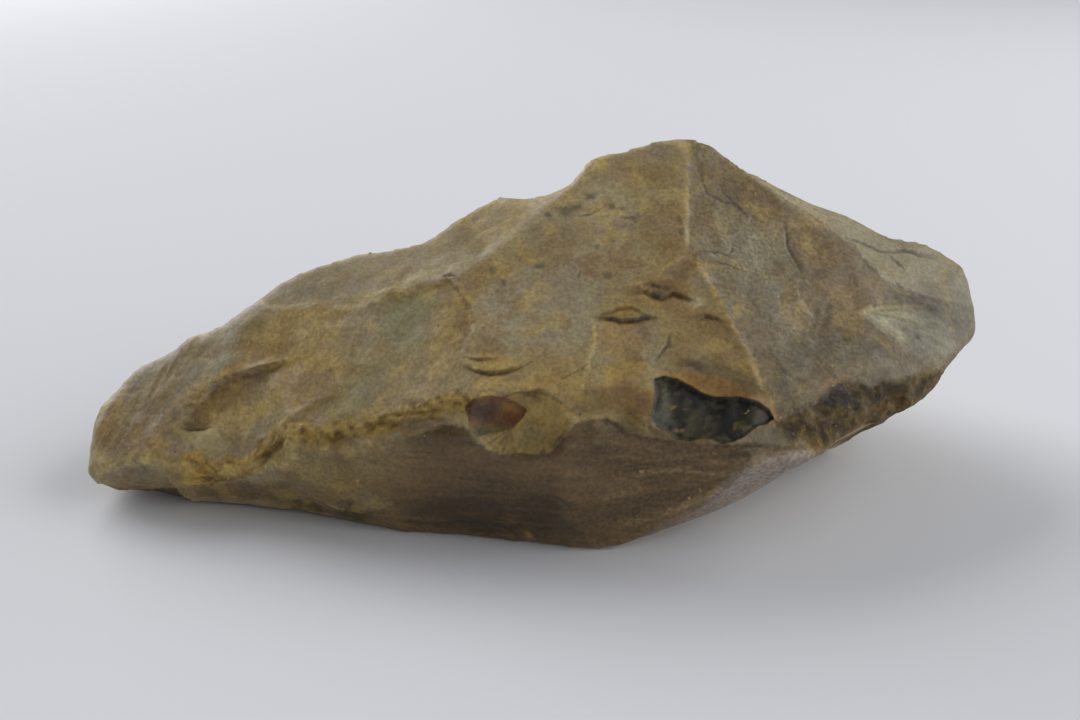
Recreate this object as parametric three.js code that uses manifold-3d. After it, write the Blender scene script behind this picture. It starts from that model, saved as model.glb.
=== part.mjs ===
// Hand axe: one piece of flint, flaked on both faces from a cobble, lying on its flatter face.
// Millimetres. The point is at -X and the butt at +X, the worked edge in front at -Y, +Z up.
// The origin is under the middle of the axe, at the height that it rests on.
//
// A cobble is cut down by flake scars, one after another, and the ridges are where scars meet.
// A scar is a shallow bowl. It needs its middle, the way it faces and its two radii:
//   at      a point on the floor of the scar, at its middle
//   turn    the compass way that it faces in degrees, 0 towards -Y and 90 towards +X
//   rise    how far it faces up in degrees, 90 straight up and -90 straight down
//   along   radius of curvature up and down the scar; below zero the face bulges
//   across  radius of curvature from side to side; below zero the face bulges
//   reach   half the width of the flake that came away, step the length of its facets

import * as THREE from 'three';
import { mergeVertices } from 'three/addons/utils/BufferGeometryUtils.js';
import Module from 'manifold-3d';

// Driving dimensions
const COBBLE_SIZE = [230, 130, 120];
const COBBLE_MIDDLE = [4, 6, 27];
const COBBLE_DETAIL = 8;
const RESTING_HEIGHT = 0;
const BROAD_REACH = 120;
const BROAD_STEP = 5;
const FLAKE_HEIGHT = 90;
const GROUND_SIZE = 400;
const CHIP_REACH = 7;
const CHIP_STEP = 1.7;
const CHIP_ROUND = [4.5, 9];
const CHIP_DEPTH = [0.7, 1.5];
const CHIP_SWING = 16;
const GOLDEN = 0.618;

// The upper face, from the point to the butt, with the side that slopes to the front first.
const UPPER_SCARS = [
  { name: 'point', at: [-66, -11, 17.4], turn: -32, rise: 48, along: 300, across: 90 },
  { name: 'shoulder top', at: [-32, -2, 35.9], turn: -38, rise: 65, along: 200, across: 120 },
  { name: 'shoulder bump', at: [-8, 1, 45], turn: -48, rise: 64, along: 300, across: 300 },
  { name: 'shoulder side', at: [-27, -16, 28.6], turn: -25, rise: 48, along: 300, across: 200 },
  { name: 'middle', at: [6, -12, 39.6], turn: -8, rise: 54, along: 400, across: 300 },
  { name: 'middle foot', at: [20, -22, 31.8], turn: 3, rise: 49, along: 300, across: 300 },
  { name: 'butt side', at: [35, -13, 36.8], turn: 25, rise: 52, along: 300, across: 300 },
  { name: 'butt top', at: [56, 7, 42.3], turn: 43, rise: 57, along: 300, across: 200 },
  { name: 'butt corner', at: [64.1, -7.2, 31], turn: 31, rise: 51, along: 300, across: 200 },
  { name: 'cobble skin', at: [50.8, -24.2, 22.2], turn: 25, rise: 36, along: -120, across: -120 },
  { name: 'far point', at: [-64.2, 5.4, 16.3], turn: -147, rise: 48, along: 200, across: 30 },
  { name: 'far shoulder', at: [-27.5, 18.2, 29], turn: -147, rise: 48, along: 300, across: 300 },
  { name: 'far middle', at: [16, 28, 39.6], turn: -165, rise: 50, along: 300, across: 300 },
  { name: 'far butt', at: [50, 26, 30.6], turn: 149, rise: 48, along: 300, across: 150 },
];

// The lower face: the steep front, then the keel that slopes away under it.
const LOWER_SCARS = [
  { name: 'point under', at: [-67.5, -16.6, 4.6], turn: -8, rise: -47, along: 300, across: 22 },
  { name: 'front left', at: [-44, -21.8, 8], turn: -13, rise: -26, along: 300, across: 200 },
  { name: 'front middle', at: [-19, -27.2, 11], turn: -9, rise: -8, along: 300, across: 300 },
  { name: 'front foot', at: [-6.5, -26.9, 1], turn: -10, rise: -20, along: 300, across: 300 },
  { name: 'front hollow', at: [24, -31, 14], turn: -7, rise: -6, along: 120, across: 60 },
  { name: 'front right', at: [35, -31, 15.5], turn: 16, rise: -31, along: 300, across: 300 },
  { name: 'keel right', at: [28, -18, 2.2], turn: 40, rise: -60, along: 300, across: 300 },
  { name: 'keel heel', at: [46, -22, 14.7], turn: 44, rise: -44, along: 300, across: 300 },
  { name: 'keel butt', at: [58, 22, 14], turn: 125, rise: -48, along: 200, across: 120 },
  { name: 'keel far', at: [5, 34, 12], turn: 178, rise: -40, along: 300, across: 300 },
  { name: 'keel point', at: [-50, 10, 8], turn: -150, rise: -42, along: 300, across: 150 },
  { name: 'point keel', at: [-70, -8, 1], turn: -85, rise: -75, along: 300, across: 300 },
  { name: 'under hollow', at: [-30, -2, 1.5], turn: -100, rise: -88, along: 260, across: 170 },
  { name: 'under dish', at: [14, 8, 1.4], turn: 100, rise: -88, along: 170, across: 220 },
];

const END_SCARS = [
  { name: 'tip end', at: [-76, -10, 12], turn: -100, rise: 15, along: 400, across: -30 },
  { name: 'tip heel', at: [-75.4, -14, 7], turn: -75, rise: -25, along: 300, across: 300 },
  { name: 'butt end', at: [77.6, 5, 28], turn: 85, rise: 5, along: -60, across: -40 },
  { name: 'butt heel', at: [66.5, -9.5, 21.5], turn: 54, rise: -36, along: 300, across: 300 },
];

// Short flakes: the scoop beside the point, the dips in the crest, the three chips that show
// best on the front edge, and the plainer scars of the far side.
const SHORT_SCARS = [
  { name: 'scoop', at: [-48.3, -18, 15], turn: -30, rise: 35, along: 34, across: 20, reach: 26, step: 2.2 },
  { name: 'crest nick', at: [-23, 6, 37], turn: -150, rise: 50, along: 60, across: 15, reach: 30, step: 3 },
  { name: 'crest notch', at: [0.5, 8.2, 46.6], turn: -165, rise: 52, along: 60, across: 10, reach: 25, step: 2.5 },
  { name: 'fan chip', at: [-3, -28.8, 23], turn: -8, rise: 18, along: 25, across: 14, reach: 20, step: 2 },
  { name: 'brown chip', at: [-3.6, -27.7, 25], turn: -12, rise: 14, along: 5, across: 8, reach: 7, step: 1.2 },
  { name: 'black chip', at: [26.2, -28.2, 25.3], turn: 4, rise: 42, along: 26, across: 50, reach: 24, step: 2.4 },
  { name: 'back scoop', at: [-36, 22, 20], turn: -160, rise: 22, along: 40, across: 34, reach: 44, step: 4 },
  { name: 'back hollow', at: [18, 41, 25], turn: 172, rise: 14, along: 36, across: 40, reach: 44, step: 4 },
  { name: 'back heel', at: [58, 31, 26], turn: 140, rise: 6, along: 60, across: 50, reach: 48, step: 4 },
  { name: 'back foot', at: [-12, 32, 9], turn: -172, rise: -38, along: 44, across: 36, reach: 44, step: 4 },
];

// Worn stretches of the edge, each nibbled by a row of small chips that face out from it.
const WORN_EDGES = [
  { name: 'front, by the point', from: [-56, -20.4, 9.6], to: [-41, -24.9, 16.8], chips: 5, turn: -16, rise: 12 },
  { name: 'front, shoulder', from: [-38, -25.4, 17.7], to: [-11, -30.2, 23.8], chips: 8, turn: -14, rise: 20 },
  { name: 'front, under the peak', from: [6, -32.5, 23.9], to: [16, -31.9, 23.7], chips: 3, turn: -4, rise: 20 },
  { name: 'butt, front corner', from: [47, -27.8, 19.6], to: [70, -10.8, 26], chips: 6, turn: 50, rise: 2 },
  { name: 'far, middle', from: [8, 41.1, 20.2], to: [46, 43.2, 20.4], chips: 6, turn: 174, rise: 2 },
];

const wasm = await Module();
wasm.setup();

const radians = THREE.MathUtils.degToRad;
const mix = THREE.MathUtils.lerp;

function solidOf(geometry) {
  geometry.deleteAttribute('normal');
  geometry.deleteAttribute('uv');
  const merged = mergeVertices(geometry, 1e-4);
  return new wasm.Manifold(new wasm.Mesh({
    numProp: 3,
    vertProperties: merged.attributes.position.array,
    triVerts: new Uint32Array(merged.index.array),
  }));
}

function geometryOf(solid) {
  const mesh = solid.getMesh();
  const geometry = new THREE.BufferGeometry();
  geometry.setAttribute('position', new THREE.BufferAttribute(mesh.vertProperties, 3));
  geometry.setIndex(new THREE.BufferAttribute(mesh.triVerts, 1));
  return geometry;
}

function cobble() {
  const shape = new THREE.IcosahedronGeometry(0.5, COBBLE_DETAIL);
  shape.scale(...COBBLE_SIZE);
  shape.translate(...COBBLE_MIDDLE);
  return solidOf(shape);
}

function everythingBelowTheGround() {
  const block = new THREE.BoxGeometry(GROUND_SIZE, GROUND_SIZE, GROUND_SIZE);
  block.translate(0, 0, RESTING_HEIGHT - GROUND_SIZE / 2);
  return solidOf(block);
}

// The direction that a face looks in, from its turn and rise.
function facing(turn, rise) {
  return new THREE.Vector3(
    Math.sin(radians(turn)) * Math.cos(radians(rise)),
    -Math.cos(radians(turn)) * Math.cos(radians(rise)),
    Math.sin(radians(rise)),
  );
}

// The block that takes one flake away. Its curved floor becomes the scar, and the rest of it
// stands outside the stone.
function flake({ at, turn, rise, along, across, reach = BROAD_REACH, step = BROAD_STEP }) {
  const cells = Math.round((2 * reach) / step);
  const block = new THREE.BoxGeometry(2 * reach, FLAKE_HEIGHT, 2 * reach, cells, 1, cells);
  const spots = block.attributes.position;
  for (let i = 0; i < spots.count; i += 1) {
    const x = spots.getX(i);
    const z = spots.getZ(i);
    const floor = (x * x) / (2 * across) + (z * z) / (2 * along);
    spots.setY(i, spots.getY(i) > 0 ? FLAKE_HEIGHT : floor);
  }
  block.rotateX(radians(180 - rise));
  block.rotateZ(radians(turn));
  block.translate(...at);
  return solidOf(block);
}

// One row of chips. Golden-ratio steps vary their size, depth and facing without a pattern.
function chipsAlong({ from, to, chips, turn, rise }) {
  const row = [];
  for (let i = 0; i < chips; i += 1) {
    const vary = (i * GOLDEN) % 1;
    const other = (i * GOLDEN * GOLDEN + 0.5) % 1;
    const chip = {
      turn: turn + CHIP_SWING * (other - 0.5) * 2,
      rise: rise + CHIP_SWING * (vary - 0.5) * 2,
      along: mix(...CHIP_ROUND, other),
      across: mix(...CHIP_ROUND, vary),
      reach: CHIP_REACH,
      step: CHIP_STEP,
    };
    const share = (i + 0.3 + 0.4 * vary) / chips;
    const middle = new THREE.Vector3(...from).lerp(new THREE.Vector3(...to), share);
    middle.addScaledVector(facing(chip.turn, chip.rise), -mix(...CHIP_DEPTH, other));
    chip.at = middle.toArray();
    row.push(chip);
  }
  return row;
}

function knap() {
  const scars = [
    ...UPPER_SCARS,
    ...LOWER_SCARS,
    ...END_SCARS,
    ...SHORT_SCARS,
    ...WORN_EDGES.flatMap(chipsAlong),
  ];
  let stone = cobble();
  for (const scar of scars) {
    stone = stone.subtract(flake(scar));
  }
  return stone.subtract(everythingBelowTheGround());
}

// The finished stone is moved so that the origin is under the middle of its outline.
function centred(geometry) {
  geometry.computeBoundingBox();
  const middle = geometry.boundingBox.getCenter(new THREE.Vector3());
  geometry.translate(-middle.x, -middle.y, -geometry.boundingBox.min.z);
  return geometry;
}

const flint = new THREE.MeshStandardMaterial({ color: 0x7a6c4f, roughness: 0.5, metalness: 0 });
const handAxe = new THREE.Mesh(centred(geometryOf(knap())), flint);
handAxe.name = 'hand_axe';

const part = new THREE.Group();
part.add(handAxe);

export default part;
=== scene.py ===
import math
import bmesh
import bpy
import numpy as np
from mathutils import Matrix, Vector, noise
from mathutils.bvhtree import BVHTree


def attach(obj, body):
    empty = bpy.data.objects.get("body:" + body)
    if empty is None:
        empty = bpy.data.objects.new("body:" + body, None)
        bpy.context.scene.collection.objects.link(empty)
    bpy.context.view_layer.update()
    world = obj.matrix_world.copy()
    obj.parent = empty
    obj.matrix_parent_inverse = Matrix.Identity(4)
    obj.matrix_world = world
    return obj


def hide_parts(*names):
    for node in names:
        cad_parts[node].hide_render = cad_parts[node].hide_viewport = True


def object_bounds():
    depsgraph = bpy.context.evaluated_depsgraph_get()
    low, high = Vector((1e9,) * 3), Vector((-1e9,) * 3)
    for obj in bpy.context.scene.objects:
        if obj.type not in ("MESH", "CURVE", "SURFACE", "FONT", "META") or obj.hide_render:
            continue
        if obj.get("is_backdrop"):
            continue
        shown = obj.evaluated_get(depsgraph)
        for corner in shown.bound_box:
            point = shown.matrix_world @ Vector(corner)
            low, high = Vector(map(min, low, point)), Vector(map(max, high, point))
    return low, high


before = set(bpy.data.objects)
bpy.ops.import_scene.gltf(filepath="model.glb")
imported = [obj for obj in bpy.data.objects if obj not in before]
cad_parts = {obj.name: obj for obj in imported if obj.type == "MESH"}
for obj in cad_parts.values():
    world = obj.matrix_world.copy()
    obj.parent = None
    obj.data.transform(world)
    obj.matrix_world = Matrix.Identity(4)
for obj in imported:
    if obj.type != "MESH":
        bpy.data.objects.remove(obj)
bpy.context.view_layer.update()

# Camera: it stands where the photographer's did, a little above the table and in front of the
# stone, and looks down at it. Marks on the stone are placed through it, in the picture's pixels.
PICTURE_WIDTH = 1080
PICTURE_HEIGHT = 720
FOCAL_PIXELS = 1050
SENSOR = 36
EYE = (-0.00044, -0.17603, 0.097)
LOOKS_DOWN = math.atan(470 / 1050)

camera_data = bpy.data.cameras.new("camera")
camera_data.sensor_width = SENSOR
camera_data.lens = SENSOR * FOCAL_PIXELS / PICTURE_WIDTH
camera_data.clip_start = 0.01
camera = bpy.data.objects.new("camera", camera_data)
camera.location = EYE
camera.rotation_euler = (math.pi / 2 - LOOKS_DOWN, 0, 0)
bpy.context.scene.collection.objects.link(camera)
bpy.context.scene.camera = camera

# Hand axe, the form: one piece of patinated flint, flaked from a cobble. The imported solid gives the
# scars, and the skin made here rolls the ridges as long wear does.
FACE_SIZE = 0.00094
ROLL_PASSES = 3
ROLL_STEP = 0.5
SEAM_FREE = 1e-6
SEEN_SLACK = 0.0006
BULGE_PASSES = 3
MM = 1000

# Small moves of the outline: a place in the picture, the move and its reach, all in pixels.
NUDGES = {
    "tip corner": ((142, 364), (0, 3), 20),
    "tip side": ((103, 412), (-10, -4), 28),
    "tip's back": ((192, 336), (-5, -6), 20),
    "tip foot": ((101, 476), (-14, 3), 18),
    "shoulder's back": ((305, 278), (0, -7), 42),
    "shoulder's far back": ((378, 258), (0, -6), 42),
    "hump": ((452, 229), (0, -5), 20),
    "left of the peak": ((588, 168), (-1, -8), 16),
    "right of the peak": ((711, 151), (0, -6), 14),
    "butt's back": ((845, 220), (0, -6), 32),
    "butt's far back": ((925, 252), (1, -7), 30),
    "butt's foot": ((925, 388), (7, 6), 24),
    "butt's foot, left": ((890, 416), (2, 3), 22),
    "keel": ((604, 549), (0, -3), 12),
}

# Stretches that are worn smoother than the rest: a line in the picture, how far from it the stone is
# rolled, in pixels, and how many times.
ROLLED = {
    "tip's back": ([(92, 468), (90, 440), (98, 412), (118, 384), (148, 360), (190, 338), (222, 324),
                    (250, 302), (280, 280)], 14, 14),
    "worn edge": ([(350, 424), (384, 416), (424, 406), (462, 398)], 11, 14),
    "right end": ([(940, 244), (966, 264), (980, 300), (984, 330), (968, 356)], 10, 8),
}


def link(thing):
    bpy.context.scene.collection.objects.link(thing)
    return thing


def evened(solid):
    """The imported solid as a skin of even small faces, with its ridges rolled a little."""
    loose = bmesh.new()
    loose.from_mesh(solid.data)
    bmesh.ops.remove_doubles(loose, verts=loose.verts, dist=SEAM_FREE)
    mesh = bpy.data.meshes.new("rough_skin")
    loose.to_mesh(mesh)
    loose.free()
    rough = link(bpy.data.objects.new("rough_skin", mesh))
    even = rough.modifiers.new("even_faces", "REMESH")
    even.mode = "VOXEL"
    even.voxel_size = FACE_SIZE
    roll = rough.modifiers.new("roll_ridges", "SMOOTH")
    roll.factor = ROLL_STEP
    roll.iterations = ROLL_PASSES
    bpy.context.view_layer.update()
    shown = rough.evaluated_get(bpy.context.evaluated_depsgraph_get())
    skin = bmesh.new()
    skin.from_mesh(shown.to_mesh())
    shown.to_mesh_clear()
    bpy.data.objects.remove(rough)
    bpy.data.meshes.remove(mesh)
    return skin


def depth_of(points):
    away = points - np.array(EYE) * MM
    return away[:, 1] * math.cos(LOOKS_DOWN) - away[:, 2] * math.sin(LOOKS_DOWN)


def places_in_picture(points):
    """Where points in millimetres show in the picture, in pixels from its top left corner."""
    away = points - np.array(EYE) * MM
    depth = depth_of(points)
    up = away[:, 1] * math.sin(LOOKS_DOWN) + away[:, 2] * math.cos(LOOKS_DOWN)
    across = PICTURE_WIDTH / 2 + FOCAL_PIXELS * away[:, 0] / depth
    down = PICTURE_HEIGHT / 2 - FOCAL_PIXELS * up / depth
    return np.stack([across, down], 1)


def nudged(points):
    """The points moved a little across the picture, so that the outline runs as in the photograph."""
    places = places_in_picture(points)
    moves = np.zeros((len(points), 2))
    weight = np.zeros(len(points))
    for spot, move, reach in NUDGES.values():
        near = np.exp(-(((places - spot) / reach) ** 2).sum(1))
        moves += near[:, None] * move
        weight += near
    moves *= (depth_of(points) / FOCAL_PIXELS / np.maximum(weight, 1))[:, None]
    picture_right = np.array([1, 0, 0])
    picture_up = np.array([0, math.sin(LOOKS_DOWN), math.cos(LOOKS_DOWN)])
    return points + moves[:, :1] * picture_right - moves[:, 1:] * picture_up


def points_of(skin):
    return np.array([v.co for v in skin.verts]) * MM


def normals_of(skin):
    skin.normal_update()
    return np.array([v.normal for v in skin.verts])


def place_points(skin, points):
    for vert, point in zip(skin.verts, points):
        vert.co = Vector(point / MM)


def neighbour_mean(skin, values):
    """The mean of each point's neighbours' values."""
    ends = np.array([[e.verts[0].index, e.verts[1].index] for e in skin.edges])
    total = np.bincount(ends[:, 0], values[ends[:, 1]], len(values))
    total += np.bincount(ends[:, 1], values[ends[:, 0]], len(values))
    return total / np.bincount(ends.ravel(), minlength=len(values))


def facing_camera(skin):
    """True for each point whose skin is turned towards the camera."""
    return ((np.array(EYE) * MM - points_of(skin)) * normals_of(skin)).sum(1) > 0


def seen_by_camera(skin):
    """One for each point that the camera sees, and nought for the rest."""
    tree = BVHTree.FromBMesh(skin)
    eye = Vector(EYE)
    points = points_of(skin)
    seen = np.zeros(len(points))
    for i in np.nonzero(facing_camera(skin))[0]:
        spot = Vector(points[i] / MM)
        reach = (spot - eye).length - SEEN_SLACK
        seen[i] = tree.ray_cast(eye, spot - eye, reach)[0] is None
    return seen


def from_line(line, places):
    """Each place's distance from a line in pixels, its side, and how far along the line it is.
    Over a line that runs to the right is below nought. The way runs from nought to one."""
    nearest = np.full(len(places), np.inf)
    side = np.zeros(len(places))
    way = np.zeros(len(places))
    for i, (start, end) in enumerate(zip(line, line[1:])):
        start = np.array(start, float)
        step = np.array(end, float) - start
        share = np.clip(((places - start) @ step) / (step @ step), 0, 1)
        off = places - start - share[:, None] * step
        far = np.hypot(off[:, 0], off[:, 1])
        closer = far < nearest
        nearest[closer] = far[closer]
        side[closer] = np.sign(step[0] * off[:, 1] - step[1] * off[:, 0])[closer]
        way[closer] = (i + share[closer]) / (len(line) - 1)
    return nearest, side, way


skin = evened(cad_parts["hand_axe"])
for line, reach, passes in ROLLED.values():
    far = from_line(line, places_in_picture(points_of(skin)))[0]
    rolled = [v for v, off in zip(skin.verts, far) if off < reach]
    for again in range(passes):
        bmesh.ops.smooth_vert(skin, verts=rolled, factor=ROLL_STEP, use_axis_x=True,
                              use_axis_y=True, use_axis_z=True)
place_points(skin, nudged(points_of(skin)))

around = np.stack([neighbour_mean(skin, axis) for axis in points_of(skin).T], 1)
bulge = ((points_of(skin) - around) * normals_of(skin)).sum(1)
for again in range(BULGE_PASSES):
    bulge = 0.5 * bulge + 0.5 * neighbour_mean(skin, bulge)
bulge_layer = skin.verts.layers.float.new("bulge")
for vert, value in zip(skin.verts, bulge):
    vert[bulge_layer] = value

# Hand axe, the marks: every crack, chip and stain that shows from the front has its line or outline
# here, in pixels of the picture, named for where it is on the stone. A fine crack has its line, its
# half width in pixels and how dark it is.
FINE_CRACKS = {
    "peak": ([(700, 176), (706, 192), (720, 200), (733, 203), (743, 212), (757, 219)], 1.7, 0.8),
    "peak, second": ([(722, 192), (731, 200), (741, 208)], 1.4, 0.7),
    "butt face": ([(784, 222), (786, 236), (787, 247), (793, 258), (798, 270)], 1.6, 0.75),
    "ridge foot": ([(698, 250), (712, 251), (722, 253), (735, 258)], 1.2, 0.8),
    "ridge foot fork": ([(733, 243), (732, 250), (728, 254)], 1.1, 0.75),
    "ridge foot end": ([(700, 258), (715, 260), (727, 264), (735, 268), (745, 272)], 1.2, 0.75),
    "far facet": ([(847, 237), (857, 241), (868, 246), (880, 252), (893, 252)], 1.8, 0.8),
    "far facet end": ([(893, 252), (903, 250), (918, 254), (936, 257)], 2.4, 0.9),
    "far facet fork": ([(888, 255), (896, 262), (904, 270)], 1.4, 0.7),
    "far facet edge": ([(848, 238), (858, 252), (869, 266), (878, 275)], 1.6, 0.6),
    "far facet foot": ([(894, 281), (899, 286), (906, 289)], 1.5, 0.75),
    "back rim": ([(779, 189), (797, 196), (813, 203), (830, 210)], 1.6, 0.85),
    "right end": ([(943, 303), (951, 309)], 1.4, 0.6),
    "right end low": ([(949, 315), (955, 322)], 1.4, 0.7),
    "right rim": ([(968, 284), (974, 300), (978, 316), (978, 332), (970, 344)], 1.5, 0.8),
    "white fan end": ([(914, 335), (921, 341)], 1.6, 0.7),
    "big face": ([(562, 379), (572, 374), (580, 369), (588, 364)], 1.1, 0.55),
    "big face top": ([(578, 217), (590, 214), (600, 209)], 1.2, 0.6),
    "upright": ([(670, 333), (668, 345), (663, 352), (655, 361)], 2.0, 0.75),
    "keel seam": ([(400, 521), (430, 524), (460, 522), (490, 523), (505, 529), (520, 536)], 2.0, 0.85),
    "shoulder top": ([(442, 277), (452, 276), (457, 280)], 1.6, 0.75),
    "front scar": ([(548, 496), (560, 499), (569, 507), (574, 518)], 1.4, 0.6),
    "scoop foot": ([(180, 429), (192, 430), (204, 430), (211, 427)], 1.3, 0.7),
    "rubble": ([(196, 478), (206, 476), (216, 479), (228, 479), (240, 475)], 1.4, 0.6),
    "rubble, upper": ([(196, 462), (206, 464), (216, 471), (226, 467)], 1.2, 0.5),
}

# Lips stand proud over a line and are cut in below it: a rise in millimetres and its reach in pixels,
# then the same for the cut. Some of them are open cracks, with painted shade along the cut under the
# lip.
LIPS = {
    "lower left, top": ([(466, 357), (474, 359), (484, 359), (496, 359)], 0.10, 5, 0.16, 3),
    "lower left": ([(464, 366), (475, 370), (490, 373), (505, 371), (520, 366), (530, 360)],
                   0.20, 8, 0.30, 5),
    "middle": ([(594, 317), (608, 317), (620, 320), (632, 320), (641, 318), (650, 317), (660, 318)],
               0.16, 7, 0.36, 6),
    "middle, top": ([(597, 315), (609, 312), (617, 308), (630, 307), (638, 310), (645, 315)],
                    0.10, 5, 0.20, 4),
    "upper": ([(631, 294), (642, 290), (650, 293), (660, 297), (673, 292), (684, 296), (694, 300)],
              0.16, 8, 0.50, 9),
    "upper, top": ([(644, 288), (651, 284), (660, 286), (672, 287)], 0.10, 4, 0.22, 4),
    "right": ([(697, 319), (705, 315), (715, 318), (723, 322)], 0.14, 6, 0.30, 6),
    "scoop wall": ([(174, 424), (187, 411), (200, 398), (212, 386), (224, 379), (242, 375), (262, 368),
                    (286, 362)], 0.6, 8, 1.2, 22),
    "scoop foot": ([(174, 424), (185, 429), (198, 431), (212, 428)], -0.30, 12, -0.25, 6),
    "tip underside": ([(98, 481), (114, 486), (132, 489), (152, 489), (168, 487)], 0.2, 10, 0.5, 10),
    "body's edge": ([(168, 474), (175, 482), (183, 492), (194, 499), (206, 501)], 0.7, 12, 0.0, 5),
    "rubble edge": ([(190, 484), (212, 482), (236, 479), (256, 466), (268, 452), (290, 432)],
                    0.35, 14, 0.45, 16),
    "chip rim": ([(503, 398), (520, 391), (535, 390), (547, 392), (558, 400)], 0.14, 8, 0.30, 7),
    "black chip rim": ([(655, 380), (663, 377), (676, 380), (690, 387), (702, 394), (712, 398),
                        (740, 398), (756, 402), (768, 411), (775, 420)], 0.12, 9, 0.45, 10),
    "shoulder step": ([(445, 277), (453, 284), (461, 296), (469, 310), (473, 330), (462, 350)],
                      0.22, 18, 0.16, 12),
    "front scar end": ([(548, 494), (560, 498), (569, 506), (576, 520)], 0.16, 10, 0.16, 8),
    "front scar side": ([(342, 460), (356, 474), (372, 490), (392, 504)], 0.25, 12, 0.25, 14),
    "front edge, left": ([(383, 449), (398, 442), (412, 437), (426, 431), (443, 424), (457, 426),
                          (468, 430), (486, 448)], 0.12, 7, 0.3, 14),
    "front edge, chip": ([(486, 449), (500, 454), (520, 453), (548, 453), (560, 440), (574, 425)],
                         0.12, 7, 0.35, 12),
    "front edge": ([(574, 425), (586, 421), (604, 420), (618, 424), (628, 434), (650, 438), (668, 441),
                    (700, 446), (740, 444), (780, 446), (820, 447)], 0.14, 8, 0.45, 14),
    "front lower ridge": ([(690, 512), (716, 496), (740, 470), (748, 463), (780, 454), (818, 449)],
                          -0.20, 12, -0.22, 12),
    "white fan rim": ([(862, 312), (872, 306), (890, 303), (915, 302), (940, 308)], 0.12, 7, 0.35, 16),
    "white fan foot": ([(866, 316), (880, 329), (893, 341), (906, 352), (925, 358)], -0.30, 9, -0.15, 8),
    "far facet edge": ([(712, 148), (745, 172), (780, 197), (820, 220), (850, 245), (880, 279)],
                       -0.25, 8, -0.20, 8),
}
# How dark the painted shade is under each open crack's lip.
LIP_SHADE_DARKNESS = {
    "lower left, top": 0.6, "lower left": 0.8, "middle": 0.95, "middle, top": 0.55, "upper": 0.9,
    "upper, top": 0.6, "right": 0.7,
}

# Ridges: a rise in millimetres and how far it reaches in pixels.
RIDGES = {
    "scoop ridge": ([(243, 462), (256, 446), (268, 436), (287, 415), (320, 400), (345, 384)], 0.25, 7),
    "tip, outer": ([(152, 362), (132, 382), (116, 404), (106, 428), (100, 452)], 0.12, 7),
    "tip, inner": ([(188, 345), (170, 372), (152, 400), (138, 430), (130, 450)], 0.12, 9),
    "peak ridge": ([(690, 140), (688, 170), (686, 200), (686, 225), (687, 250)], 0.12, 7),
    "right fork": ([(690, 254), (704, 272), (713, 288), (722, 310), (737, 334), (757, 371), (774, 408)],
                   0.35, 7),
    "left fork": ([(686, 254), (670, 264), (655, 281)], 0.20, 5),
    "left line": ([(592, 318), (595, 330), (594, 344), (590, 358), (586, 376)], 0.15, 5),
    "top facet edge": ([(262, 303), (280, 309), (300, 313), (330, 314), (350, 309), (380, 299),
                        (420, 283), (445, 275), (475, 262)], 0.35, 8),
    "front streak": ([(600, 452), (660, 463), (720, 470), (742, 474)], 0.14, 6),
    "front streak, low": ([(610, 524), (660, 512), (700, 500), (730, 480)], 0.14, 6),
}

BLACK_CHIP = [
    (655, 380), (663, 377), (676, 380), (690, 387), (702, 394), (712, 398), (740, 398), (756, 402),
    (767, 409), (773, 418), (766, 423), (757, 425), (749, 431), (741, 437), (732, 441), (722, 443),
    (712, 438), (700, 437), (690, 440), (676, 438), (668, 431), (657, 425), (652, 415), (656, 398),
]
BROWN_CHIP = [
    (465, 406), (473, 400), (486, 397), (500, 398), (514, 403), (526, 410), (521, 418), (513, 427),
    (503, 430), (490, 432), (478, 435), (471, 429), (469, 418),
]
FAN_CHIP = [
    (505, 399), (520, 392), (536, 391), (552, 395), (562, 404), (580, 416), (566, 428), (556, 440),
    (550, 452), (530, 453), (515, 452), (500, 453), (487, 449), (480, 440), (482, 434), (505, 430),
]
WHITE_FAN = [
    (862, 313), (878, 305), (902, 303), (928, 308), (950, 328), (958, 344), (942, 358), (922, 357),
    (905, 351), (893, 340), (878, 327),
]
FAR_FACET = [
    (705, 136), (740, 156), (800, 188), (860, 215), (930, 240), (965, 262), (985, 310), (940, 300),
    (905, 290), (881, 279), (850, 245), (820, 220), (780, 197), (745, 172), (712, 148),
]
TOP_FACET = [
    (240, 306), (262, 284), (300, 266), (345, 250), (400, 240), (440, 225), (470, 224), (486, 244),
    (475, 262), (445, 275), (420, 283), (380, 299), (350, 309), (330, 314), (300, 313), (280, 309),
    (262, 303),
]
BUTT_BROWN = [
    (700, 166), (722, 163), (745, 178), (780, 200), (800, 211), (840, 236), (862, 258), (880, 286),
    (868, 304), (860, 326), (836, 340), (834, 306), (812, 286), (796, 262), (788, 230), (770, 214),
    (742, 204), (722, 188),
]
FRONT_FACE = [
    (360, 454), (383, 449), (398, 442), (412, 437), (426, 431), (443, 424), (457, 426), (468, 430),
    (475, 441), (486, 449), (500, 454), (520, 453), (548, 453), (560, 440), (574, 425), (586, 421),
    (604, 420), (618, 424), (628, 434), (650, 438), (668, 441), (700, 446), (740, 444), (780, 446),
    (830, 447), (790, 480), (700, 540), (600, 570), (500, 560), (390, 540), (350, 520), (392, 504),
    (372, 490), (356, 474), (342, 460),
]
FRONT_PALE = [
    (700, 506), (724, 482), (742, 466), (752, 460), (780, 453), (822, 447), (800, 468), (770, 492),
    (730, 512), (690, 530), (640, 544), (650, 526),
]
# The tip's underside, where it hangs just over the floor: an outline for painted shade.
TIP_UNDERSIDE_SHADE = [
    (94, 482), (110, 487), (130, 490), (150, 490), (168, 488), (178, 486), (186, 500), (150, 512),
    (100, 505),
]
WEDGE = [
    (172, 424), (184, 429), (198, 432), (213, 428), (222, 436), (228, 448), (220, 453), (203, 450),
    (190, 444), (180, 434),
]
RUBBLE = [
    (188, 452), (206, 450), (216, 461), (232, 462), (246, 458), (262, 446), (276, 436), (276, 452),
    (262, 464), (244, 476), (222, 482), (200, 484), (184, 478), (186, 464),
]
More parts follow.
